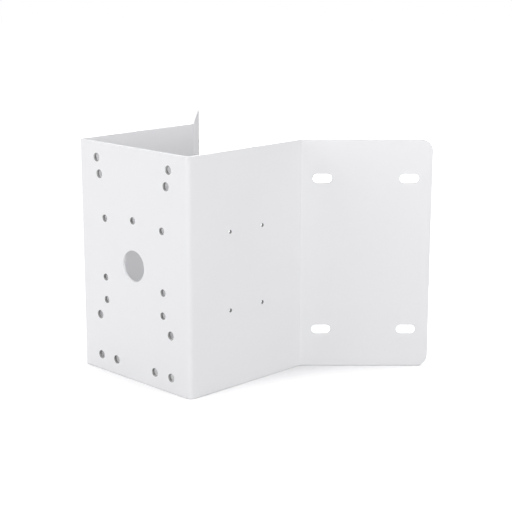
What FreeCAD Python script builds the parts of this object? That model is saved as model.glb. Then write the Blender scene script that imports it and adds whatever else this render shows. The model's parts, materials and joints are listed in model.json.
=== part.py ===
import FreeCAD, Part
import math
import os
import Sketcher

# Corner mount bracket: one steel sheet, cut to outline and folded four times.
# A front plate carries the camera, two side plates stand it off from the corner,
# and two flanges turn out at 45 degrees to lie on the two walls.
# X runs across the front plate, Y runs back towards the corner, Z is up.

# Driving sizes, in millimetres and degrees

drivingSizes = {
    # the folded sheet
    "plateHeight": 170.0,
    "frontWidth": 118.0,  # outside the two side plates
    "sideDepth": 109.5,  # front face to the fold line of the flange
    "flangeReach": 95.0,  # fold line to the free end of the flange
    "flangeTurn": 45.0,  # how far the flange is folded out of the side plate
    "sheetThickness": 2.0,
    "foldRadius": 1.0,  # inside radius of every fold
    "flangeCornerRadius": 8.0,
    "edgeBreak": 0.3,  # chamfer that breaks every cut edge
    # slots of the flanges, for the wall screws
    "slotWidth": 6.6,
    "slotLength": 14.0,  # end to end
    "slotFromFold": 15.5,  # fold line to the middle of the nearest slot
    "slotFromEnd": 16.5,  # middle of the furthest slot to the free end
    "slotPitchUp": 113.5,
    # hole for the cable, in the middle of the front plate
    "cableHoleDiameter": 22.5,
    # large tapped holes of the front plate
    "largeThreadDiameter": 6.0,
    "largeThreadPitch": 1.0,
    "cornerFromSide": 20.25,  # outside of the side plates to the corner holes
    "cornerFromEdge": 11.25,  # top and bottom edges to the corner holes
    "upperPitchAcross": 72.0,
    "upperFromEdge": 23.0,  # top edge to the upper pair
    "lowerPitchAcross": 78.0,
    "lowerBelowMiddle": 43.0,
    "innerPitchAcross": 42.5,
    # small tapped holes of the front plate
    "smallThreadDiameter": 5.0,
    "smallThreadPitch": 0.8,
    "squarePitchAcross": 62.0,
    "squarePitchUp": 60.5,
    "flankPitchAcross": 63.0,
    "flankBelowMiddle": 13.5,
    "topAboveMiddle": 33.0,
    # every tapped hole of the front plate starts in a short countersink
    "leadAllowance": 0.3,
    "leadAngle": 90.0,
    # tapped holes of the side plates
    "sideThreadDiameter": 3.0,
    "sideThreadPitch": 0.5,
    "sideHoleFromFront": 38.5,
    "sidePitchAlong": 31.5,
    "sidePitchUp": 56.5,
}

# Sizes that follow from them: a bore for tapping is the thread less its pitch

followingSizes = {
    "outerFoldRadius": "=foldRadius + sheetThickness",
    "halfHeight": "=plateHeight / 2",
    "flangeTip": "=flangeReach - edgeBreak",
    "flangeDepth": "=flangeTip * cos(flangeTurn * 1deg) + sheetThickness * sin(flangeTurn * 1deg)",
    "overallDepth": "=sideDepth + flangeDepth",
    "slotStraight": "=slotLength - slotWidth",
    "slotPitchAcross": "=flangeReach - slotFromFold - slotFromEnd",
    "cornerPitchAcross": "=frontWidth - 2 * cornerFromSide",
    "cornerPitchUp": "=plateHeight - 2 * cornerFromEdge",
    "largeBore": "=largeThreadDiameter - largeThreadPitch",
    "smallBore": "=smallThreadDiameter - smallThreadPitch",
    "sideBore": "=sideThreadDiameter - sideThreadPitch",
    "largeLead": "=largeThreadDiameter + leadAllowance",
    "smallLead": "=smallThreadDiameter + leadAllowance",
}

doc = FreeCAD.newDocument("CornerMount")
sheet = doc.addObject("Spreadsheet::Sheet", "Sizes")
for row, (alias, value) in enumerate({**drivingSizes, **followingSizes}.items(), start=1):
    sheet.set("A%d" % row, alias)
    sheet.set("B%d" % row, str(value))
    sheet.setAlias("B%d" % row, alias)
doc.recompute()


def sizeOf(expression):
    return float(sheet.evalExpression(expression))


bracket = doc.addObject("PartDesign::Body", "Bracket")
bracket.Label = "bracket"


def originPlane(role):
    for feature in bracket.Origin.OriginFeatures:
        if feature.Role == role:
            return feature


# Sketches lie on the body's own planes, and their dimensions are bound to the sheet

startPoint, endPoint, centrePoint = range(1, 4)
sketchOrigin = (-1, startPoint)
upwards = FreeCAD.Vector(0, 0, 1)


def newSketch(name, role, across="0", up="0", out="0"):
    sketch = bracket.newObject("Sketcher::SketchObject", name)
    sketch.AttachmentSupport = [(originPlane(role), "")]
    sketch.MapMode = "FlatFace"
    sketch.setExpression("AttachmentOffset.Base.x", across)
    sketch.setExpression("AttachmentOffset.Base.y", up)
    sketch.setExpression("AttachmentOffset.Base.z", out)
    return sketch


def point(x, y):
    return FreeCAD.Vector(x, y, 0)


def arc(centre, radius, first, last):
    return Part.ArcOfCircle(Part.Circle(centre, upwards, radius), first, last)


def constrain(sketch, kind, *where):
    return sketch.addConstraint(Sketcher.Constraint(kind, *where))


def dimension(sketch, name, expression, kind, *where):
    value = sizeOf(expression)
    if kind == "Angle":
        value = math.radians(value)
    index = constrain(sketch, kind, *where, value)
    sketch.renameConstraint(index, name)
    sketch.setExpression("Constraints." + name, expression)


# Right half of the section seen from above: each fold is two arcs about one centre,
# and the fold line is where the side face and the flange face would cross

def drawHalfSection(sketch):
    thickness = sizeOf("Sizes.sheetThickness")
    inner = sizeOf("Sizes.foldRadius")
    outer = sizeOf("Sizes.outerFoldRadius")
    half = sizeOf("Sizes.frontWidth / 2")
    depth = sizeOf("Sizes.sideDepth")
    turn = math.radians(sizeOf("Sizes.flangeTurn"))
    along = point(math.sin(turn), math.cos(turn))
    through = point(-math.cos(turn), math.sin(turn))
    frontCentre = point(half - outer, outer)
    wallCentre = point(half + inner, depth - inner * math.tan(turn / 2))
    foldLine = point(half, depth)
    tip = foldLine + along * sizeOf("Sizes.flangeReach")
    middle = point(0, 0)
    middleBack = point(0, thickness)

    def line(first, last):
        return sketch.addGeometry(Part.LineSegment(first, last))

    frontFace = line(middle, point(half - outer, 0))
    frontOutside = sketch.addGeometry(arc(frontCentre, outer, -math.pi / 2, 0))
    sideFace = line(point(half, outer), point(half, wallCentre.y))
    wallInside = sketch.addGeometry(arc(wallCentre, inner, math.pi - turn, math.pi))
    flangeFace = line(wallCentre + through * inner, tip)
    flangeEnd = line(tip, tip + through * thickness)
    flangeBack = line(tip + through * thickness, wallCentre + through * outer)
    wallOutside = sketch.addGeometry(arc(wallCentre, outer, math.pi - turn, math.pi))
    sideBack = line(point(half - thickness, wallCentre.y), point(half - thickness, outer))
    frontInside = sketch.addGeometry(arc(frontCentre, inner, -math.pi / 2, 0))
    frontBack = line(point(half - outer, thickness), middleBack)
    middleLine = line(middleBack, middle)
    corner = sketch.addGeometry(Part.Point(foldLine), True)

    constrain(sketch, "Tangent", frontFace, endPoint, frontOutside, startPoint)
    constrain(sketch, "Tangent", frontOutside, endPoint, sideFace, startPoint)
    constrain(sketch, "Tangent", sideFace, endPoint, wallInside, endPoint)
    constrain(sketch, "Tangent", wallInside, startPoint, flangeFace, startPoint)
    constrain(sketch, "Tangent", flangeBack, endPoint, wallOutside, startPoint)
    constrain(sketch, "Tangent", wallOutside, endPoint, sideBack, startPoint)
    constrain(sketch, "Tangent", sideBack, endPoint, frontInside, endPoint)
    constrain(sketch, "Tangent", frontInside, startPoint, frontBack, startPoint)
    constrain(sketch, "Coincident", frontOutside, centrePoint, frontInside, centrePoint)
    constrain(sketch, "Coincident", wallInside, centrePoint, wallOutside, centrePoint)
    constrain(sketch, "Coincident", flangeFace, endPoint, flangeEnd, startPoint)
    constrain(sketch, "Coincident", flangeEnd, endPoint, flangeBack, startPoint)
    constrain(sketch, "Coincident", frontBack, endPoint, middleLine, startPoint)
    constrain(sketch, "Coincident", middleLine, endPoint, frontFace, startPoint)
    constrain(sketch, "Coincident", frontFace, startPoint, *sketchOrigin)
    constrain(sketch, "Horizontal", frontFace)
    constrain(sketch, "Vertical", middleLine)
    constrain(sketch, "Vertical", sideFace)
    constrain(sketch, "Parallel", frontFace, frontBack)
    constrain(sketch, "Parallel", flangeFace, flangeBack)
    constrain(sketch, "Perpendicular", flangeFace, flangeEnd)
    constrain(sketch, "PointOnObject", corner, startPoint, sideFace)
    constrain(sketch, "PointOnObject", corner, startPoint, flangeFace)

    across = ("DistanceX", *sketchOrigin, corner, startPoint)
    back = ("DistanceY", *sketchOrigin, corner, startPoint)
    reach = ("Distance", corner, startPoint, flangeFace, endPoint)
    turned = ("Angle", sideFace, startPoint, flangeFace, startPoint)
    dimension(sketch, "halfWidth", "Sizes.frontWidth / 2", *across)
    dimension(sketch, "sideDepth", "Sizes.sideDepth", *back)
    dimension(sketch, "flangeReach", "Sizes.flangeReach", *reach)
    dimension(sketch, "flangeTurn", "-Sizes.flangeTurn", *turned)
    dimension(sketch, "frontInside", "Sizes.foldRadius", "Radius", frontInside)
    dimension(sketch, "frontOutside", "Sizes.outerFoldRadius", "Radius", frontOutside)
    dimension(sketch, "wallInside", "Sizes.foldRadius", "Radius", wallInside)
    dimension(sketch, "wallOutside", "Sizes.outerFoldRadius", "Radius", wallOutside)


def mirrorAcrossMiddle(name, features):
    mirrored = bracket.newObject("PartDesign::Mirrored", name)
    mirrored.Originals = features
    mirrored.MirrorPlane = (originPlane("YZ_Plane"), [""])
    bracket.Tip = mirrored
    doc.recompute()
    return mirrored


halfSection = newSketch("HalfSection", "XY_Plane")
drawHalfSection(halfSection)
doc.recompute()
foldedHalf = bracket.newObject("PartDesign::Pad", "FoldedHalf")
foldedHalf.Profile = halfSection
foldedHalf.setExpression("Length", "Sizes.plateHeight")
doc.recompute()
foldedSheet = mirrorAcrossMiddle("FoldedSheet", [foldedHalf])


# Free corners of the flanges are rounded

closeEnough = 0.001


def edgesWhere(shape, wanted):
    return ["Edge%d" % number for number, edge in enumerate(shape.Edges, start=1) if wanted(shape, edge)]


def isFlangeCorner(shape, edge):
    # a short level edge through the thickness, outside the side plates
    box = edge.BoundBox
    throughSheet = abs(edge.Length - sizeOf("Sizes.sheetThickness")) < closeEnough
    outside = min(abs(box.XMin), abs(box.XMax)) > sizeOf("Sizes.frontWidth / 2")
    return throughSheet and outside and box.ZLength < closeEnough


flangeCorners = bracket.newObject("PartDesign::Fillet", "FlangeCorners")
flangeCorners.Base = (foldedSheet, edgesWhere(foldedSheet.Shape, isFlangeCorner))
flangeCorners.setExpression("Radius", "Sizes.flangeCornerRadius")
doc.recompute()


# Four slots in the right flange, level, in a rectangle about the middle of the height

def addSlot(sketch, label, across, up):
    # across and up give the middle of the slot
    centre = point(sizeOf(across), sizeOf(up))
    radius = sizeOf("Sizes.slotWidth / 2")
    toEnd = point(sizeOf("Sizes.slotStraight / 2"), 0)
    toEdge = point(0, radius)
    near = sketch.addGeometry(arc(centre - toEnd, radius, math.pi / 2, 3 * math.pi / 2))
    bottom = sketch.addGeometry(Part.LineSegment(centre - toEnd - toEdge, centre + toEnd - toEdge))
    far = sketch.addGeometry(arc(centre + toEnd, radius, -math.pi / 2, math.pi / 2))
    top = sketch.addGeometry(Part.LineSegment(centre + toEnd + toEdge, centre - toEnd + toEdge))
    constrain(sketch, "Tangent", near, endPoint, bottom, startPoint)
    constrain(sketch, "Tangent", bottom, endPoint, far, startPoint)
    constrain(sketch, "Tangent", far, endPoint, top, startPoint)
    constrain(sketch, "Tangent", top, endPoint, near, startPoint)
    constrain(sketch, "Horizontal", bottom)
    constrain(sketch, "Equal", near, far)
    nearAcross = across + " - Sizes.slotStraight / 2"
    straight = ("DistanceX", bottom, startPoint, bottom, endPoint)
    dimension(sketch, label + "Across", nearAcross, "DistanceX", *sketchOrigin, near, centrePoint)
    dimension(sketch, label + "Up", up, "DistanceY", *sketchOrigin, near, centrePoint)
    dimension(sketch, label + "Straight", "Sizes.slotStraight", *straight)
    dimension(sketch, label + "Radius", "Sizes.slotWidth / 2", "Radius", near)


# the sketch's origin is on the fold line, and its plane turns with the flange
foldLine = ("Sizes.frontWidth / 2", "Sizes.halfHeight", "-Sizes.sideDepth")
slotSketch = newSketch("SlotSketch", "XZ_Plane", *foldLine)
slotSketch.AttachmentOffset = FreeCAD.Placement(point(0, 0), FreeCAD.Rotation(FreeCAD.Vector(0, 1, 0), 45))
slotSketch.setExpression("AttachmentOffset.Rotation.Angle", "90 - Sizes.flangeTurn")
slotColumns = {"near": "Sizes.slotFromFold", "far": "Sizes.slotFromFold + Sizes.slotPitchAcross"}
slotRows = {"Top": "Sizes.slotPitchUp / 2", "Bottom": "-Sizes.slotPitchUp / 2"}
for column, across in slotColumns.items():
    for row, up in slotRows.items():
        addSlot(slotSketch, column + row, across, up)
doc.recompute()
wallSlots = bracket.newObject("PartDesign::Pocket", "WallSlots")
wallSlots.Profile = slotSketch
wallSlots.Type = "ThroughAll"
doc.recompute()

slottedSheet = mirrorAcrossMiddle("SlottedSheet", [wallSlots])


# Round holes: each circle of a sketch has its own two distances from the sketch's origin

def addHole(sketch, label, across, up, diameter):
    centre = point(sizeOf(across), sizeOf(up))
    circle = sketch.addGeometry(Part.Circle(centre, upwards, sizeOf(diameter) / 2))
    dimension(sketch, label + "Across", across, "DistanceX", *sketchOrigin, circle, centrePoint)
    dimension(sketch, label + "Up", up, "DistanceY", *sketchOrigin, circle, centrePoint)
    dimension(sketch, label + "Diameter", diameter, "Diameter", circle)


def drillHoles(name, sketch, bore, lead=None):
    # the sketch's normal points out of the metal, so the holes run into it
    doc.recompute()
    holes = bracket.newObject("PartDesign::Hole", name)
    holes.Profile = sketch
    doc.recompute()
    holes.DepthType = "ThroughAll"
    holes.setExpression("Diameter", bore)
    if lead:
        holes.HoleCutType = "Countersink"
        holes.HoleCutCustomValues = True
        holes.setExpression("HoleCutDiameter", lead)
        holes.setExpression("HoleCutCountersinkAngle", "Sizes.leadAngle")
    doc.recompute()
    return holes


def newFrontSketch(name):
    return newSketch(name, "XZ_Plane", up="Sizes.halfHeight")


cableSketch = newFrontSketch("CableHoleSketch")
addHole(cableSketch, "cable", "0", "0", "Sizes.cableHoleDiameter")
cableHole = drillHoles("CableHole", cableSketch, "Sizes.cableHoleDiameter")


# Every edge that the cutting left is broken, round the outline, the slots and the cable hole

def isSheetFace(face):
    # plates, flanges and folds all run the full height
    return abs(face.BoundBox.ZLength - sizeOf("Sizes.plateHeight")) < closeEnough


def isCutEdge(shape, edge):
    # between a face of the sheet and a face that the cutting left
    beside = shape.ancestorsOfType(edge, Part.Face)
    return len(beside) == 2 and isSheetFace(beside[0]) != isSheetFace(beside[1])


brokenEdges = bracket.newObject("PartDesign::Chamfer", "BrokenEdges")
brokenEdges.Base = (cableHole, edgesWhere(cableHole.Shape, isCutEdge))
brokenEdges.setExpression("Size", "Sizes.edgeBreak")
doc.recompute()


# Right-hand half of the camera's hole patterns, measured from the middle of the plate

# across and up of each hole
largePlaces = {
    "cornerTop": ("Sizes.cornerPitchAcross / 2", "Sizes.cornerPitchUp / 2"),
    "cornerBottom": ("Sizes.cornerPitchAcross / 2", "-Sizes.cornerPitchUp / 2"),
    "upper": ("Sizes.upperPitchAcross / 2", "Sizes.halfHeight - Sizes.upperFromEdge"),
    "lower": ("Sizes.lowerPitchAcross / 2", "-Sizes.lowerBelowMiddle"),
    "inner": ("Sizes.innerPitchAcross / 2", "-Sizes.cornerPitchUp / 2"),
}
largeSketch = newFrontSketch("LargeHoleSketch")
for label, (across, up) in largePlaces.items():
    addHole(largeSketch, label, across, up, "Sizes.largeBore")
largeHoles = drillHoles("LargeHoles", largeSketch, "Sizes.largeBore", "Sizes.largeLead")

smallPlaces = {
    "squareTop": ("Sizes.squarePitchAcross / 2", "Sizes.squarePitchUp / 2"),
    "squareBottom": ("Sizes.squarePitchAcross / 2", "-Sizes.squarePitchUp / 2"),
    "flank": ("Sizes.flankPitchAcross / 2", "-Sizes.flankBelowMiddle"),
}
smallSketch = newFrontSketch("SmallHoleSketch")
for label, (across, up) in smallPlaces.items():
    addHole(smallSketch, label, across, up, "Sizes.smallBore")
smallHoles = drillHoles("SmallHoles", smallSketch, "Sizes.smallBore", "Sizes.smallLead")

frontHoles = mirrorAcrossMiddle("FrontHoles", [largeHoles, smallHoles])

# The top hole of the small pattern is alone on the middle line

topSketch = newFrontSketch("TopHoleSketch")
addHole(topSketch, "top", "0", "Sizes.topAboveMiddle", "Sizes.smallBore")
topHole = drillHoles("TopHole", topSketch, "Sizes.smallBore", "Sizes.smallLead")

# Four plain tapped holes drilled straight through both side plates

sideSketch = newSketch("SideHoleSketch", "YZ_Plane", up="Sizes.halfHeight", out="Sizes.frontWidth / 2")
sideColumns = {"front": "Sizes.sideHoleFromFront", "rear": "Sizes.sideHoleFromFront + Sizes.sidePitchAlong"}
sideRows = {"Top": "Sizes.sidePitchUp / 2", "Bottom": "-Sizes.sidePitchUp / 2"}
for column, along in sideColumns.items():
    for row, up in sideRows.items():
        addHole(sideSketch, column + row, along, up, "Sizes.sideBore")
sideHoles = drillHoles("SideHoles", sideSketch, "Sizes.sideBore")

# The origin of the finished bracket is under the middle of its box

bracket.setExpression("Placement.Base.y", "-Sizes.overallDepth / 2")
doc.recompute()

# Everything has to be sound before anything is written

for item in doc.Objects:
    if "Invalid" in item.State or "Error" in item.State:
        raise RuntimeError("%s did not build: %s" % (item.Name, item.State))
if bracket.Shape.isNull() or not bracket.Shape.isValid() or len(bracket.Shape.Solids) != 1:
    raise RuntimeError("the bracket is not one valid solid")

os.makedirs("parts", exist_ok=True)
bracket.Shape.exportStep("parts/%s.step" % bracket.Label)
print("bracket volume %.1f mm3, box %s" % (bracket.Shape.Volume, bracket.Shape.BoundBox))
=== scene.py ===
import json
import math

import bmesh
import bpy
from mathutils import Euler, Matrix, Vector


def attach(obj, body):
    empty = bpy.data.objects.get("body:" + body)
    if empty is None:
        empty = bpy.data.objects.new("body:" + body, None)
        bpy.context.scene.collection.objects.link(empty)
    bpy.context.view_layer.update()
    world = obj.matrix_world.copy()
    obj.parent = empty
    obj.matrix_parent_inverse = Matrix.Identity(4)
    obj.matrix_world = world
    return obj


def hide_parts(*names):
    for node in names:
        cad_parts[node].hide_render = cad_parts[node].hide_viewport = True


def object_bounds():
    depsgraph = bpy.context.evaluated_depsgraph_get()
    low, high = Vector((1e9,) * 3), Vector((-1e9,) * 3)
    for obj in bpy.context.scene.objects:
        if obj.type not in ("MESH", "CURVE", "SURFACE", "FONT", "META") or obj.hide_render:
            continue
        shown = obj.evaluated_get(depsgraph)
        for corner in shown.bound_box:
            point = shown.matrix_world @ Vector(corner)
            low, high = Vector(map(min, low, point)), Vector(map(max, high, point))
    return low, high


# Corner mount bracket, folded from one white powder-coated steel sheet.
# The frame gives the sheet itself. This script taps its holes and finishes its surface.

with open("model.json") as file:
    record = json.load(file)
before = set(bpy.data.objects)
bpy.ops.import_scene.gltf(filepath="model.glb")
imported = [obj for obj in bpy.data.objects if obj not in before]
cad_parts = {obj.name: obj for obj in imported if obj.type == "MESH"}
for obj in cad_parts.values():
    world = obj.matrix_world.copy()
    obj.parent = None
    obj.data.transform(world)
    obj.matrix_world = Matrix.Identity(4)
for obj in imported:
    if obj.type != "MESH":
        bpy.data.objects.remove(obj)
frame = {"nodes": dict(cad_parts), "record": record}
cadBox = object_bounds()
record = frame["record"]
print("frame loaded:", ", ".join(sorted(frame["nodes"])))


def linked(name, data):
    made = bpy.data.objects.new(name, data)
    bpy.context.scene.collection.objects.link(made)
    return made


def newTree(name, kind, inputs, outputs):
    # inputs and outputs map each socket's name to its type
    tree = bpy.data.node_groups.new(name, kind)
    for label, socketType in inputs.items():
        tree.interface.new_socket(label, in_out="INPUT", socket_type=socketType)
    for label, socketType in outputs.items():
        tree.interface.new_socket(label, in_out="OUTPUT", socket_type=socketType)
    return tree, tree.nodes.new("NodeGroupInput"), tree.nodes.new("NodeGroupOutput")


def addNode(tree, kind, settings=None, values=None, wires=None):
    # settings are the node's own properties, values fill its inputs, and wires feed them
    node = tree.nodes.new(kind)
    for label, value in (settings or {}).items():
        setattr(node, label, value)
    for label, value in (values or {}).items():
        node.inputs[label].default_value = value
    for label, source in (wires or {}).items():
        tree.links.new(source, node.inputs[label])
    return node


def calculate(tree, operation, *terms):
    # a Math node whose terms are numbers or other nodes' outputs
    node = addNode(tree, "ShaderNodeMath", {"operation": operation})
    for socket, term in zip(node.inputs, terms):
        if isinstance(term, (int, float)):
            socket.default_value = term
        else:
            tree.links.new(term, socket)
    return node.outputs[0]


# Finishes

noises = {
    "coarseDetail": 2.0,
    "fineDetail": 1.0,
    "driftDetail": 3.0,
    "coarseToFine": 4.0,  # the fine relief is this many times smaller than the coarse
    "usualLow": 0.3,  # a noise seldom leaves the range from here
    "usualHigh": 0.7,  # to here
}


def makeSurfaceGrain():
    # two sizes of fine relief and a slow drift, shared by the coat and the bare steel
    inputs = {
        "Vector": "NodeSocketVector",
        "Grain Size": "NodeSocketFloat",
        "Grain Height": "NodeSocketFloat",
        "Fine Share": "NodeSocketFloat",
        "Drift Size": "NodeSocketFloat",
    }
    outputs = {
        "Grain": "NodeSocketFloat",
        "Drift": "NodeSocketFloat",
        "Normal": "NodeSocketVector",
    }
    tree, start, end = newTree("surfaceGrain", "ShaderNodeTree", inputs, outputs)
    place = start.outputs["Vector"]

    def noise(size, detail):
        scale = calculate(tree, "DIVIDE", 1.0, size)
        return addNode(
            tree, "ShaderNodeTexNoise", values={"Detail": detail}, wires={"Vector": place, "Scale": scale}
        ).outputs["Fac"]

    coarse = noise(start.outputs["Grain Size"], noises["coarseDetail"])
    fineSize = calculate(tree, "DIVIDE", start.outputs["Grain Size"], noises["coarseToFine"])
    fine = noise(fineSize, noises["fineDetail"])
    drift = noise(start.outputs["Drift Size"], noises["driftDetail"])
    grain = calculate(tree, "MULTIPLY_ADD", fine, start.outputs["Fine Share"], coarse)
    bump = addNode(
        tree, "ShaderNodeBump", wires={"Height": grain, "Distance": start.outputs["Grain Height"]}
    )
    tree.links.new(grain, end.inputs["Grain"])
    tree.links.new(drift, end.inputs["Drift"])
    tree.links.new(bump.outputs["Normal"], end.inputs["Normal"])
    return tree


surfaceGrain = makeSurfaceGrain()

powderCoat = {
    "colour": (0.872, 0.871, 0.887),
    "thinCoatAndShadeColour": (0.8, 0.8, 0.815),  # on the cut edges: partly the powder lying thin there, partly painted shade that keeps the lit top edges as dark as the plates
    "shadeSpread": 0.012,  # how far the tone drifts over the sheet
    "roughness": (0.5, 0.6),
    "specular": 0.35,
    "grainSize": 0.0016,
    "grainHeight": 0.000012,
    "fineShare": 0.22,
    "driftSize": 0.045,
}

tappedSteel = {
    "colour": (0.31, 0.31, 0.315),
    "oiledColour": (0.16, 0.158, 0.155),
    "roughness": (0.28, 0.5),
    "grainSize": 0.0004,
    "grainHeight": 0.000006,
    "fineShare": 0.5,
    "driftSize": 0.003,
}


def startMaterial(name, finish):
    material = bpy.data.materials.new(name)
    material.use_nodes = True
    tree = material.node_tree
    tree.nodes.clear()
    shader = addNode(tree, "ShaderNodeBsdfPrincipled")
    addNode(tree, "ShaderNodeOutputMaterial", wires={"Surface": shader.outputs["BSDF"]})
    place = addNode(tree, "ShaderNodeTexCoord").outputs["Object"]
    values = {
        "Grain Size": finish["grainSize"],
        "Grain Height": finish["grainHeight"],
        "Fine Share": finish["fineShare"],
        "Drift Size": finish["driftSize"],
    }
    grain = addNode(tree, "ShaderNodeGroup", {"node_tree": surfaceGrain}, values, {"Vector": place})
    tree.links.new(grain.outputs["Normal"], shader.inputs["Normal"])
    return material, tree, shader, grain


def spread(tree, source, low, high):
    # turns a noise that stays near the middle of 0 to 1 into the range low to high
    usual = {"From Min": noises["usualLow"], "From Max": noises["usualHigh"]}
    wanted = {"To Min": low, "To Max": high}
    node = addNode(tree, "ShaderNodeMapRange", values=usual | wanted, wires={"Value": source})
    return node.outputs["Result"]


# the Mix node's sockets for colours go by number, because its other kinds use the same names
mixSockets = {"share": 0, "first": 6, "second": 7, "result": 2}


def blended(tree, share, first, second):
    # first and second are colours, or sockets that give one
    node = addNode(tree, "ShaderNodeMix", {"data_type": "RGBA"}, wires={mixSockets["share"]: share})
    for index, colour in ((mixSockets["first"], first), (mixSockets["second"], second)):
        if isinstance(colour, tuple):
            node.inputs[index].default_value = (*colour, 1)
        else:
            tree.links.new(colour, node.inputs[index])
    return node.outputs[mixSockets["result"]]


def makePowderCoat(finish):
    material, tree, shader, grain = startMaterial("powderCoat", finish)
    darker = tuple(part * (1 - finish["shadeSpread"]) for part in finish["colour"])
    drift = spread(tree, grain.outputs["Drift"], 0.0, 1.0)
    edge = addNode(tree, "ShaderNodeAttribute", {"attribute_name": "cutEdge"}).outputs["Fac"]
    colour = blended(tree, drift, darker, finish["colour"])
    # cut edges greyer: thin powder there, and painted shade that holds the lit top edges down to the plates'
    # tone
    colour = blended(tree, edge, colour, finish["thinCoatAndShadeColour"])
    tree.links.new(colour, shader.inputs["Base Color"])
    roughness = spread(tree, grain.outputs["Drift"], *finish["roughness"])
    tree.links.new(roughness, shader.inputs["Roughness"])
    shader.inputs["Specular IOR Level"].default_value = finish["specular"]
    return material


def makeTappedSteel(finish):
    material, tree, shader, grain = startMaterial("tappedSteel", finish)
    oiled = spread(tree, grain.outputs["Drift"], 0.0, 1.0)
    colour = blended(tree, oiled, finish["colour"], finish["oiledColour"])
    tree.links.new(colour, shader.inputs["Base Color"])
    roughness = spread(tree, grain.outputs["Grain"], *finish["roughness"])
    tree.links.new(roughness, shader.inputs["Roughness"])
    shader.inputs["Metallic"].default_value = 1.0
    return material


coatMaterial = makePowderCoat(powderCoat)
steelMaterial = makeTappedSteel(tappedSteel)
print("finishes made: powder coat, tapped steel")


# Tapped holes: a groove is wound through each bore and cut out of the sheet

threads = {
    "sheetThickness": 0.002,
    "sizes": {
        "large": {"boreRadius": 0.0025, "diameter": 0.006, "pitch": 0.001},
        "small": {"boreRadius": 0.0021, "diameter": 0.005, "pitch": 0.0008},
        "side": {"boreRadius": 0.00125, "diameter": 0.003, "pitch": 0.0005},
    },
    "loneHoles": {"small_top_hole": "small"},  # a mount whose record gives no hole size
    "matchWithin": 0.0001,  # a stated hole this close to a bore's radius is that bore
    "inset": 0.0001,  # the cutter starts this far inside the bore
    "pitchToRoot": 8.0,  # the pitch is this many times the width of the groove's root
    "flankAngle": math.radians(30),  # each flank of a 60 degree thread
    "stepsPerTurn": 48,
}

millimetresPerMetre = 1000


def threadSizeOf(radius):
    for label, size in threads["sizes"].items():
        if abs(size["boreRadius"] - radius) < threads["matchWithin"]:
            return label


def findHoles():
    # one entry for each tapped hole: its thread, the middle of its bore and the way it faces
    upwards = Vector((0, 0, 1))
    found = []
    for mount in record["mounts"]:
        outward = Vector(mount["axis"])
        place = Vector(mount["pos_m"])
        if mount["kind"] == "bolt_pattern":
            dims = mount["dims"]
            label = threadSizeOf(dims["hole_r_mm"] / millimetresPerMetre)
            across = upwards.cross(outward) * dims["spacing_x_mm"] / (2 * millimetresPerMetre)
            up = upwards * dims.get("spacing_y_mm", 0) / (2 * millimetresPerMetre)
            rows = (-1, 1) if up.length else (0,)
            # the side plates' patterns are stated on the outside, the front plate's inside the metal
            if abs(outward.x) > abs(outward.y):
                place -= outward * threads["sheetThickness"] / 2
            for row in rows:
                for side in (-1, 1):
                    found.append((label, place + across * side + up * row, outward))
        elif mount["name"] in threads["loneHoles"]:
            middle = place - outward * threads["sheetThickness"] / 2
            found.append((threads["loneHoles"][mount["name"]], middle, outward))
    return found


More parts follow.
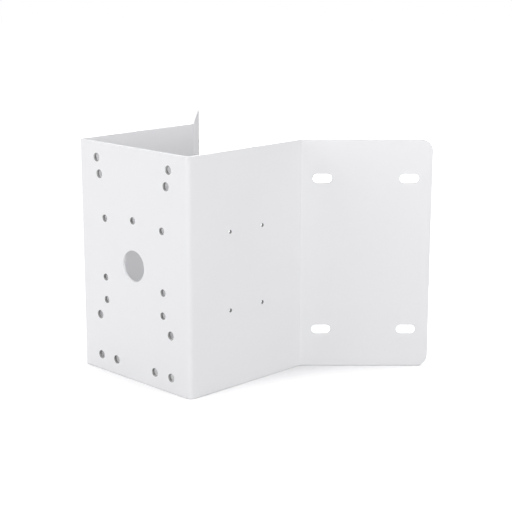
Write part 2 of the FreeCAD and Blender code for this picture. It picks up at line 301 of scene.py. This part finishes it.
def makeGrooveTree():
    # sweeps a groove's section along a helix at every point, square to the sheet
    inputs = {
        "Geometry": "NodeSocketGeometry",
        "Bore Radius": "NodeSocketFloat",
        "Thread Radius": "NodeSocketFloat",
        "Pitch": "NodeSocketFloat",
        "Turns": "NodeSocketFloat",
        "Steps": "NodeSocketInt",
        "Material": "NodeSocketMaterial",
    }
    tree, start, end = newTree("threadGroove", "GeometryNodeTree", inputs, {"Geometry": "NodeSocketGeometry"})
    bore, rim, pitch, turns = (
        start.outputs[label] for label in ("Bore Radius", "Thread Radius", "Pitch", "Turns")
    )
    depth = calculate(tree, "SUBTRACT", rim, bore)
    middle = calculate(tree, "MULTIPLY_ADD", depth, 0.5, bore)
    height = calculate(tree, "MULTIPLY", pitch, turns)
    rootWidth = calculate(tree, "DIVIDE", pitch, threads["pitchToRoot"])
    bothFlanks = 2 * math.tan(threads["flankAngle"])
    mouthWidth = calculate(tree, "MULTIPLY_ADD", depth, bothFlanks, rootWidth)
    helix = addNode(
        tree,
        "GeometryNodeCurveSpiral",
        wires={
            "Resolution": start.outputs["Steps"],
            "Rotations": turns,
            "Start Radius": middle,
            "End Radius": middle,
            "Height": height,
        },
    )
    upright = addNode(
        tree, "GeometryNodeSetCurveNormal", {"mode": "Z_UP"}, wires={"Curve": helix.outputs["Curve"]}
    )
    section = addNode(
        tree,
        "GeometryNodeCurvePrimitiveQuadrilateral",
        {"mode": "TRAPEZOID"},
        {"Offset": 0.0},
        {"Height": depth, "Bottom Width": mouthWidth, "Top Width": rootWidth},
    )
    turned = addNode(
        tree,
        "GeometryNodeTransform",
        values={"Rotation": Euler((0, 0, math.pi / 2))},
        wires={"Geometry": section.outputs["Curve"]},
    )
    swept = addNode(
        tree,
        "GeometryNodeCurveToMesh",
        values={"Fill Caps": True},
        wires={"Curve": upright.outputs["Curve"], "Profile Curve": turned.outputs["Geometry"]},
    )
    sink = addNode(
        tree, "ShaderNodeCombineXYZ", wires={"Z": calculate(tree, "MULTIPLY", height, -0.5)}
    )
    centred = addNode(
        tree,
        "GeometryNodeTransform",
        wires={"Geometry": swept.outputs["Mesh"], "Translation": sink.outputs["Vector"]},
    )
    outward = addNode(
        tree, "GeometryNodeInputNamedAttribute", {"data_type": "FLOAT_VECTOR"}, {"Name": "outward"}
    )
    facing = addNode(
        tree,
        "FunctionNodeAlignRotationToVector",
        {"axis": "Z"},
        wires={"Vector": outward.outputs["Attribute"]},
    )
    placed = addNode(
        tree,
        "GeometryNodeInstanceOnPoints",
        wires={
            "Points": start.outputs["Geometry"],
            "Instance": centred.outputs["Geometry"],
            "Rotation": facing.outputs["Rotation"],
        },
    )
    solid = addNode(tree, "GeometryNodeRealizeInstances", wires={"Geometry": placed.outputs["Instances"]})
    coloured = addNode(
        tree,
        "GeometryNodeSetMaterial",
        wires={"Geometry": solid.outputs["Geometry"], "Material": start.outputs["Material"]},
    )
    tree.links.new(coloured.outputs["Geometry"], end.inputs["Geometry"])
    return tree


def setInput(modifier, label, value):
    for item in modifier.node_group.interface.items_tree:
        if item.item_type == "SOCKET" and item.in_out == "INPUT" and item.name == label:
            modifier[item.identifier] = value


def settled(source):
    # the object's mesh with its modifiers worked out
    bpy.context.view_layer.update()
    graph = bpy.context.evaluated_depsgraph_get()
    return bpy.data.meshes.new_from_object(source.evaluated_get(graph))


def makeGrooves(tree, label, holes):
    size = threads["sizes"][label]
    points = bpy.data.meshes.new(label + "HolePoints")
    points.from_pydata([place for _, place, _ in holes], [], [])
    facing = points.attributes.new("outward", "FLOAT_VECTOR", "POINT")
    for index, (_, _, outward) in enumerate(holes):
        facing.data[index].vector = outward
    carrier = linked(label + "Grooves", points)
    modifier = carrier.modifiers.new("threadGroove", "NODES")
    modifier.node_group = tree
    setInput(modifier, "Bore Radius", size["boreRadius"] - threads["inset"])
    setInput(modifier, "Thread Radius", size["diameter"] / 2)
    setInput(modifier, "Pitch", size["pitch"])
    setInput(modifier, "Turns", threads["sheetThickness"] / size["pitch"] + 1)
    setInput(modifier, "Steps", threads["stepsPerTurn"])
    setInput(modifier, "Material", steelMaterial)
    grooves = settled(carrier)
    carrier.modifiers.remove(modifier)
    carrier.data = grooves
    return carrier


def cutGrooves(sheet, holes):
    tree = makeGrooveTree()
    for label in threads["sizes"]:
        group = [hole for hole in holes if hole[0] == label]
        cutter = makeGrooves(tree, label, group)
        modifier = sheet.modifiers.new("tapping", "BOOLEAN")
        modifier.operation = "DIFFERENCE"
        modifier.solver = "EXACT"
        modifier.material_mode = "TRANSFER"
        modifier.object = cutter
        tapped = settled(sheet)
        sheet.modifiers.remove(modifier)
        sheet.data = tapped
        bpy.data.objects.remove(cutter)
        print("tapped", len(group), label, "holes")


# The sheet: the frame's own faces, merged, tapped and shaded so that plates stay flat

sheetLook = {
    "mergeWithin": 0.000001,
    "levelWithin": math.radians(0.5),  # faces this close in angle belong to one plane
    "sharpFrom": math.radians(50),  # folds and broken edges turn by less than this
    "steelSharpFrom": math.radians(25),  # the same limit for faces inside a hole
    "boreReach": 0.00035,  # bore and countersink end within this much of the thread's radius
    "sheetFacing": 0.9,  # a face that looks along a hole at least this much is the sheet's own
    "plateArea": 0.002,  # every plate is larger than this, and every cut edge smaller
    "foldStep": math.radians(30),  # a fold's facets turn by less than this, a broken edge by more
}


# where the two materials stand in the sheet's list
coatIndex, steelIndex = range(2)


def copyNode(name):
    mesh = frame["nodes"][name].data.copy()
    shape = bmesh.new()
    shape.from_mesh(mesh)
    bmesh.ops.remove_doubles(shape, verts=shape.verts, dist=sheetLook["mergeWithin"])
    shape.to_mesh(mesh)
    shape.free()
    mesh.materials.clear()
    mesh.materials.append(coatMaterial)
    mesh.materials.append(steelMaterial)
    return mesh


def paintBores(mesh, holes):
    # bores and countersinks are bare: everything inside a hole that isn't a face of the sheet
    for label, place, outward in holes:
        reach = threads["sizes"][label]["diameter"] / 2 + sheetLook["boreReach"]
        for face in mesh.polygons:
            offset = face.center - place
            along = offset.dot(outward)
            if abs(along) > threads["sheetThickness"] or (offset - outward * along).length > reach:
                continue
            if abs(face.normal.dot(outward)) < sheetLook["sheetFacing"]:
                face.material_index = steelIndex


def planeAreas(shape):
    # the whole flat area that each face belongs to
    areas = {}
    for first in shape.faces:
        if first in areas:
            continue
        region, waiting = {first}, [first]
        while waiting:
            face = waiting.pop()
            for edge in face.edges:
                for other in edge.link_faces:
                    turn = face.normal.angle(other.normal, 0)
                    if other not in region and turn < sheetLook["levelWithin"]:
                        region.add(other)
                        waiting.append(other)
        total = sum(face.calc_area() for face in region)
        for face in region:
            areas[face] = total
    return areas


def isSharp(edge):
    turn = edge.calc_face_angle(0)
    materials = {face.material_index for face in edge.link_faces}
    if materials == {coatIndex}:
        return turn > sheetLook["sharpFrom"]
    return len(materials) > 1 or turn > sheetLook["steelSharpFrom"]


def cornerNormals(shape, areas):
    # at each vertex the widest plane wins, so plates are flat and folds and edges roll over
    normals = {}
    for vertex in shape.verts:
        waiting = set(vertex.link_faces)
        while waiting:
            fan, reached = [], [waiting.pop()]
            while reached:
                face = reached.pop()
                fan.append(face)
                for side in face.edges:
                    if vertex in side.verts and side.smooth:
                        for other in side.link_faces:
                            if other in waiting:
                                waiting.discard(other)
                                reached.append(other)
            total = Vector()
            for face in fan:
                total += face.normal * areas[face] ** 2
            for face in fan:
                normals[face, vertex] = total.normalized()
    return normals


def findCutEdges(shape, areas):
    # 1 on the faces round the outline, slots and holes, which no plate or fold runs on to
    sheet = {face for face in shape.faces if areas[face] > sheetLook["plateArea"]}
    waiting = list(sheet)
    while waiting:
        for edge in waiting.pop().edges:
            if edge.calc_face_angle(0) < sheetLook["foldStep"]:
                reached = set(edge.link_faces) - sheet
                sheet |= reached
                waiting.extend(reached)
    return [float(face not in sheet) for face in shape.faces]


def shadeSheet(mesh):
    shape = bmesh.new()
    shape.from_mesh(mesh)
    shape.normal_update()
    areas = planeAreas(shape)
    cutEdges = findCutEdges(shape, areas)
    for face in shape.faces:
        face.smooth = True
    for edge in shape.edges:
        edge.smooth = not isSharp(edge)
    normals = cornerNormals(shape, areas)
    corners = [normals[face, corner.vert] for face in shape.faces for corner in face.loops]
    shape.to_mesh(mesh)
    shape.free()
    mesh.normals_split_custom_set(corners)
    mesh.attributes.new("cutEdge", "FLOAT", "FACE").data.foreach_set("value", cutEdges)


holes = findHoles()
bracketSheet = linked("bracketSheet", copyNode("bracket"))
cutGrooves(bracketSheet, holes)
paintBores(bracketSheet.data, holes)
shadeSheet(bracketSheet.data)
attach(bracketSheet, "root")
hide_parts("bracket")
print("sheet finished:", len(bracketSheet.data.polygons), "faces")


# Studio: a white floor that runs out to a white surround, soft lamps and the camera

studio = {
    "floorRadius": 4.0,
    "floorSides": 96,
    "floorDrop": 0.00005,  # keeps the floor clear of the bracket's foot
    "floorSeen": (0.75, 0.75, 0.755),
    "glow": 1.0,  # the open floor glows white, and less where the bracket shades it
    "shadeFrom": 0.33,  # the glow is gone where the floor is no more open than this
    "shadeReach": 0.12,  # how near the bracket has to be to shade the floor's glow
    "shadeSamples": 16,
    "floorBounce": (0.55, 0.55, 0.55),  # the floor as it lights the bracket
    "surroundSeen": (1.0, 1.0, 1.0),
    "ambient": (0.94, 0.94, 1.0),  # the surround as it lights the bracket
    "ambientStrength": 0.07,
}

softboxes = {
    "leftKey": {"azimuth": -25, "elevation": 18, "distance": 1.3, "width": 0.9, "power": 8.4},
    "cameraFill": {"azimuth": 47, "elevation": 11, "distance": 1.3, "width": 0.6, "power": 3.7},
    "rightFill": {"azimuth": 77, "elevation": 10, "distance": 1.3, "width": 0.5, "power": 4.3},
    "overhead": {"azimuth": 100, "elevation": 72, "distance": 1.0, "width": 0.9, "power": 5.8},
    "backFill": {"azimuth": 226, "elevation": 36, "distance": 1.3, "width": 0.9, "power": 8.5},
    "leftFill": {"azimuth": -80, "elevation": 18, "distance": 1.3, "width": 0.9, "power": 3.0},
}

camera = {
    "place": (0.71865, -0.68098, 0.31478),
    "azimuth": 45.173,
    "downTilt": 13.476,
    "lens": 94.89,
    "clearFrom": 0.01,  # nothing nearer than this is drawn
}


def seenByEye(tree):
    # 1 for rays that the camera sees directly, in a reflection or through something clear
    rays = addNode(tree, "ShaderNodeLightPath")
    seen = calculate(tree, "MAXIMUM", rays.outputs["Is Camera Ray"], rays.outputs["Is Glossy Ray"])
    return calculate(tree, "MAXIMUM", seen, rays.outputs["Is Transmission Ray"])


def makeFloor():
    shape = bmesh.new()
    bmesh.ops.create_circle(
        shape, cap_ends=True, segments=studio["floorSides"], radius=studio["floorRadius"]
    )
    mesh = bpy.data.meshes.new("floor")
    shape.to_mesh(mesh)
    shape.free()
    floor = linked("floor", mesh)
    floor.location.z = -studio["floorDrop"]
    material = bpy.data.materials.new("floorPaper")
    material.use_nodes = True
    tree = material.node_tree
    tree.nodes.clear()
    paper = addNode(tree, "ShaderNodeBsdfDiffuse", values={"Color": (*studio["floorSeen"], 1)})
    openness = addNode(
        tree,
        "ShaderNodeAmbientOcclusion",
        {"samples": studio["shadeSamples"]},
        {"Distance": studio["shadeReach"]},
    )
    strength = addNode(
        tree,
        "ShaderNodeMapRange",
        values={"From Min": studio["shadeFrom"], "From Max": 1.0, "To Min": 0.0, "To Max": studio["glow"]},
        wires={"Value": openness.outputs["AO"]},
    )
    glow = addNode(tree, "ShaderNodeEmission", wires={"Strength": strength.outputs["Result"]})
    seen = addNode(tree, "ShaderNodeAddShader", wires={0: paper.outputs[0], 1: glow.outputs[0]})
    bounce = addNode(tree, "ShaderNodeBsdfDiffuse", values={"Color": (*studio["floorBounce"], 1)})
    wires = {0: seenByEye(tree), 1: bounce.outputs[0], 2: seen.outputs[0]}
    chosen = addNode(tree, "ShaderNodeMixShader", wires=wires)
    addNode(tree, "ShaderNodeOutputMaterial", wires={"Surface": chosen.outputs[0]})
    mesh.materials.append(material)


def makeSurround():
    world = bpy.data.worlds.new("surround")
    bpy.context.scene.world = world
    world.use_nodes = True
    tree = world.node_tree
    tree.nodes.clear()
    light = addNode(
        tree,
        "ShaderNodeBackground",
        values={"Color": (*studio["ambient"], 1), "Strength": studio["ambientStrength"]},
    )
    white = addNode(tree, "ShaderNodeBackground", values={"Color": (*studio["surroundSeen"], 1)})
    wires = {0: seenByEye(tree), 1: light.outputs[0], 2: white.outputs[0]}
    chosen = addNode(tree, "ShaderNodeMixShader", wires=wires)
    addNode(tree, "ShaderNodeOutputWorld", wires={"Surface": chosen.outputs[0]})


def makeSoftboxes(target):
    for name, box in softboxes.items():
        azimuth, elevation = math.radians(box["azimuth"]), math.radians(box["elevation"])
        away = Vector(
            (
                math.sin(azimuth) * math.cos(elevation),
                -math.cos(azimuth) * math.cos(elevation),
                math.sin(elevation),
            )
        )
        lamp = bpy.data.lights.new(name, "AREA")
        lamp.shape = "SQUARE"
        lamp.size = box["width"]
        lamp.energy = box["power"]
        placed = linked(name, lamp)
        placed.location = target + away * box["distance"]
        placed.rotation_euler = away.to_track_quat("Z", "Y").to_euler()


def makeCamera():
    lens = bpy.data.cameras.new("camera")
    lens.lens = camera["lens"]
    lens.clip_start = camera["clearFrom"]
    placed = linked("camera", lens)
    placed.location = camera["place"]
    tilt = math.radians(90 - camera["downTilt"])
    placed.rotation_euler = (tilt, 0, math.radians(camera["azimuth"]))
    bpy.context.scene.camera = placed


makeFloor()
makeSurround()
makeSoftboxes((cadBox[0] + cadBox[1]) / 2)
makeCamera()
bpy.context.scene.view_settings.view_transform = "Standard"
print("studio set")
